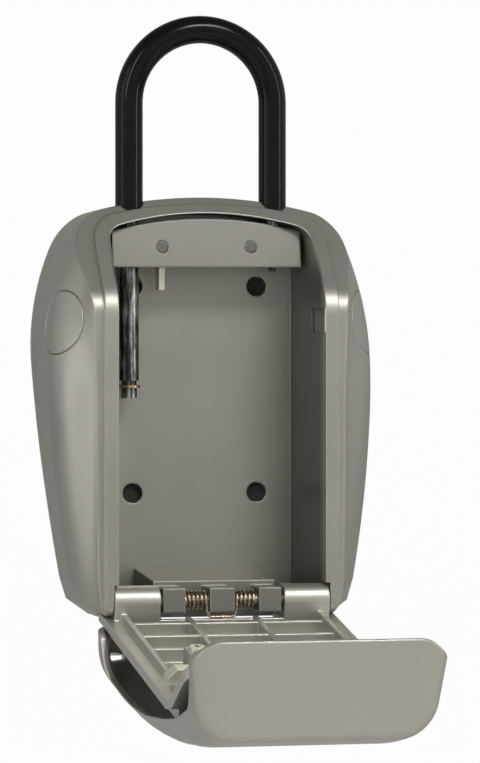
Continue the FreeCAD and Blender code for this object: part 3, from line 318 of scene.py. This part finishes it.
clip = Paint("brass plating", IOR=1.6)
tarnish = clip.noise(scale=900, detail=4, rough=0.6)
clip.feed(Base_Color=clip.mix(tarnish, (0.42, 0.26, 0.12), (0.74, 0.54, 0.28)),
          Metallic=0.92 + 0.05 * tarnish, Roughness=0.2 + 0.25 * tarnish)
clip.bump(tarnish, 0.00003, 0.4)
clip.on("shackle_clip")


# Springs: bright round steel wire, copper-washed, wound cold and left unpainted.
# The door spring's two coils sit on the hinge pin between the knuckles.
wire = Paint("copper washed wire", IOR=2.0)
draw = wire.noise(scale=1500, detail=3, rough=0.6)
wire.feed(Base_Color=wire.mix(wire.ramp(draw, 0.35, 0.7), (0.30, 0.20, 0.12), (0.78, 0.66, 0.52)),
          Metallic=0.95 + 0.04 * draw, Roughness=0.16 + 0.2 * draw)
wire.bump(draw, 0.00002, 0.4)
wire.on("door_spring", "latch_spring_left", "latch_spring_right")

# Plated small parts: pins, bolts and screws in bright nickel, a little cream in tone.
# Latch bolts are sintered and plated; pins and screws are turned.
plate = Paint("cream nickel", IOR=2.0)
lathe = plate.noise(scale=1100, detail=4, rough=0.6)
plate.feed(Base_Color=plate.mix(lathe, (0.70, 0.64, 0.51), (0.92, 0.87, 0.75)),
           Metallic=0.86 + 0.1 * lathe, Roughness=0.2 + 0.2 * lathe)
plate.bump(lathe, 0.00003, 0.4, plate.soft_normal(0.0003))
dials = range(1, 5)
plate.on("latch_bolt_left", "latch_bolt_right", "strike_pins", "hinge_pin", "hinge_block_screws",
         "lock_plate_screws", "shackle_release", "reset_lever", "cover_pin", "dial_axle",
         "shackle_bolt", "dial_detent", *[f"dial_cam_{dial}" for dial in dials])

# Cross recesses of the screws: painted shade, thin near-black crossed bars laid on the plated heads,
# four in the lock plate and two under the case's foot.
# Near-black with a faint mottle: painted shade for the screws' cross recesses.
recess_shade = Paint("recess black", IOR=1.46, Roughness=0.7)
shade_mottle = recess_shade.noise(scale=2200, detail=3, rough=0.6)
recess_shade.feed(Base_Color=recess_shade.mix(shade_mottle, (0.012, 0.012, 0.011), (0.05, 0.047, 0.04)))
recess_shade.bump(shade_mottle, 0.00003, 0.5)


def cross(pattern):
    """Two crossed bars, thin as paint on a screw head."""
    reach, slot = pattern.size["reach"], pattern.size["slot"]
    thick = slot * 0.2
    joined = pattern.tree.nodes.new("GeometryNodeJoinGeometry")
    for x, y in ((reach, slot), (slot, reach)):
        size = pattern.node("ShaderNodeCombineXYZ", {}, {"X": x, "Y": y, "Z": thick})
        bar = pattern.node("GeometryNodeMeshCube", {}, {"Size": size})
        pattern.tree.links.new(bar.socket, joined.inputs[0])
    return Wire(pattern, joined.outputs[0])


plate_middle, plate_turn = tuple(opened(0, -0.0351, 0.0044)), (door_turn - quarter, 0, 0)
plate_cross = Pattern("plate_screw_crosses", across=0.0406, tall=0.0184, reach=0.0024, slot=0.0005)
plate_cross.grow(plate_cross.repeat(plate_cross.corners(), cross(plate_cross), plate_middle, plate_turn),
                 recess_shade, "door")

screw_gap = 0.024
first_screw = (-screw_gap / 2, -0.0215, -0.0687)
foot_cross = Pattern("foot_screw_crosses", gap=screw_gap, reach=0.003, slot=0.0006)
step = foot_cross.node("ShaderNodeCombineXYZ", {}, {"X": foot_cross.size["gap"]})
pair = foot_cross.node("GeometryNodeMeshLine", {}, {"Count": 2, "Offset": step})
foot_cross.grow(foot_cross.repeat(pair, cross(foot_cross), first_screw, (0, 0, 0)), recess_shade, "case")

# Dial housing and opening slide: black moulded plastic behind the weather cover.
# The dials are the same plastic.
plastic = Paint("black moulding", IOR=1.46)
spark = plastic.noise(scale=2600, detail=2, rough=0.5)
plastic.feed(Base_Color=plastic.mix(spark, (0.012, 0.012, 0.012), (0.03, 0.03, 0.03)),
             Roughness=0.42 + 0.15 * spark)
plastic.bump(spark, 0.00004, 0.5, plastic.soft_normal(0.0003))
plastic.on("dial_housing", "opening_slide", *[f"dial_{dial}" for dial in dials])


# Dial figures: 0 to 9 round each dial, moulded white and flush with the rim.
# They stand upright in the window while the door is shut.
figure_paint = Paint("figure white", IOR=1.46, Roughness=0.5)
chalk = figure_paint.noise(scale=2400, detail=2, rough=0.5)
figure_paint.feed(Base_Color=figure_paint.mix(chalk, (0.70, 0.70, 0.67), (0.84, 0.84, 0.82)))
figure_paint.bump(chalk, 0.00002, 0.4)
letter_size, letter_half_thick = 0.00504, 0.00013
dial_radius, letter_sunk = 0.0084, 0.00012
figure_count = 10
first_angle = door_turn + math.radians(180)
for dial in dials:
    low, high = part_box(f"dial_{dial}")
    middle = (Vector(low) + Vector(high)) / 2
    corners, faces = [], []
    for figure in range(figure_count):
        words = bpy.data.curves.new("figure", "FONT")
        words.body = str(figure)
        words.align_x = words.align_y = "CENTER"
        words.size = letter_size
        words.extrude = letter_half_thick
        words.resolution_u = 3
        letter = bpy.data.objects.new("figure", words)
        bpy.context.scene.collection.objects.link(letter)
        flat = bpy.data.meshes.new_from_object(
            letter.evaluated_get(bpy.context.evaluated_depsgraph_get()))
        bpy.data.objects.remove(letter)
        angle = math.radians(360 * figure / figure_count) + first_angle
        out = Vector((0, math.cos(angle), math.sin(angle)))
        up = Vector((0, math.sin(angle), -math.cos(angle)))
        first = len(corners)
        corners += [middle + Vector((v.co.x, 0, 0)) + up * v.co.y
                    + out * (dial_radius - letter_sunk + v.co.z) for v in flat.vertices]
        faces += [[first + corner for corner in face.vertices] for face in flat.polygons]
    ring = bpy.data.meshes.new(f"dial_figures_{dial}")
    ring.from_pydata(corners, [], faces)
    figures = bpy.data.objects.new(ring.name, ring)
    bpy.context.scene.collection.objects.link(figures)
    figure_paint.on(figures)
    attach(figures, f"dial_set_{dial}")

# The camera stands a good way off, a little to the left, and looks slightly down.
# A long lens keeps the flanks nearly parallel.
turn, dip = math.radians(13.561), math.radians(1.027)
focal_pixels, picture_pixels, sensor_wide = 4500, 763, 36
eye = bpy.data.objects.new("Camera", bpy.data.cameras.new("Camera"))
bpy.context.scene.collection.objects.link(eye)
eye.location = (-0.3137, -1.36365, 0.02752)
looking = Vector((math.sin(turn) * math.cos(dip), math.cos(turn) * math.cos(dip), -math.sin(dip)))
eye.rotation_euler = looking.to_track_quat("-Z", "Y").to_euler()
eye.data.sensor_width = sensor_wide
eye.data.lens = focal_pixels * sensor_wide / picture_pixels
eye.data.clip_start = 0.05
bpy.context.scene.camera = eye

# A white paper sweep under and behind the box, lit by soft boxes and a pale room.
# The box hangs as on its wall, so the paper lies below the cover's longest drop.
cover_drop = 0.14
floor_height = cad_box[0].z - cover_drop
floor_front, wall_start, sweep_round, wall_tall, half_wide = -4.0, 2.6, 0.8, 4.0, 5.0
profile = [(floor_front, 0.0), (wall_start, 0.0)]
for degrees in range(10, 91, 10):
    lean = math.radians(degrees)
    profile.append((wall_start + sweep_round * math.sin(lean), sweep_round * (1 - math.cos(lean))))
profile.append((wall_start + sweep_round, wall_tall))
corners = [(x, y, floor_height + z) for y, z in profile for x in (-half_wide, half_wide)]
sweep = bpy.data.meshes.new("Paper sweep")
sweep.from_pydata(corners, [], [(i, i + 1, i + 3, i + 2) for i in range(0, len(corners) - 2, 2)])
paper = bpy.data.objects.new("Paper sweep", sweep)
bpy.context.scene.collection.objects.link(paper)
sheet = Paint("white paper", Roughness=0.9, Base_Color=(0.86, 0.86, 0.86, 1))
glow = sheet.node("ShaderNodeEmission", {}, {"Color": (1, 1, 1, 1), "Strength": 1.0})
seen = sheet.node("ShaderNodeLightPath", {}, {}, "Is Camera Ray")
matt = Wire(sheet, sheet.shader.outputs[0])
blend = sheet.node("ShaderNodeMixShader", {}, {0: seen * 0.97, 1: matt, 2: glow})
sheet.tree.links.new(blend.socket, sheet.tree.nodes["Material Output"].inputs["Surface"])
sheet.on(paper)

# The pale room is brightest at eye level and dims towards its ceiling.
world = bpy.data.worlds.new("Pale room")
world.use_nodes = True
links, nodes = world.node_tree.links, world.node_tree.nodes
facing = nodes.new("ShaderNodeTexCoord")
split = nodes.new("ShaderNodeSeparateXYZ")
links.new(facing.outputs["Generated"], split.inputs[0])
fade = nodes.new("ShaderNodeMapRange")
for socket, value in {"From Min": 0.15, "From Max": 0.8, "To Min": 0.62, "To Max": 0.16}.items():
    fade.inputs[socket].default_value = value
links.new(split.outputs["Z"], fade.inputs["Value"])
nodes["Background"].inputs["Color"].default_value = (1, 1, 1, 1)
links.new(fade.outputs[0], nodes["Background"].inputs["Strength"])
bpy.context.scene.world = world


def soft_box(name, place, target, size, power):
    lamp = bpy.data.lights.new(name, "AREA")
    lamp.shape = "RECTANGLE"
    lamp.size, lamp.size_y = size
    lamp.energy = power
    shown = bpy.data.objects.new(name, lamp)
    bpy.context.scene.collection.objects.link(shown)
    shown.location = place
    shown.rotation_euler = (Vector(target) - Vector(place)).to_track_quat("-Z", "Y").to_euler()


door_face, head = (0, -0.06, 0), (0, -0.03, 0.08)
soft_box("Key light", place=(0.30, -1.0, 0.82), target=door_face, size=(0.4, 0.25), power=6.5)
soft_box("Left light", place=(-1.0, -0.35, 0.25), target=door_face, size=(0.5, 0.9), power=1.6)
soft_box("Left strip", place=(-0.75, -0.9, 0.55), target=head, size=(0.06, 0.7), power=2.2)
soft_box("Right strip", place=(0.95, -0.7, 0.35), target=head, size=(0.08, 0.8), power=2.2)

bpy.context.scene.view_settings.view_transform = "Standard"
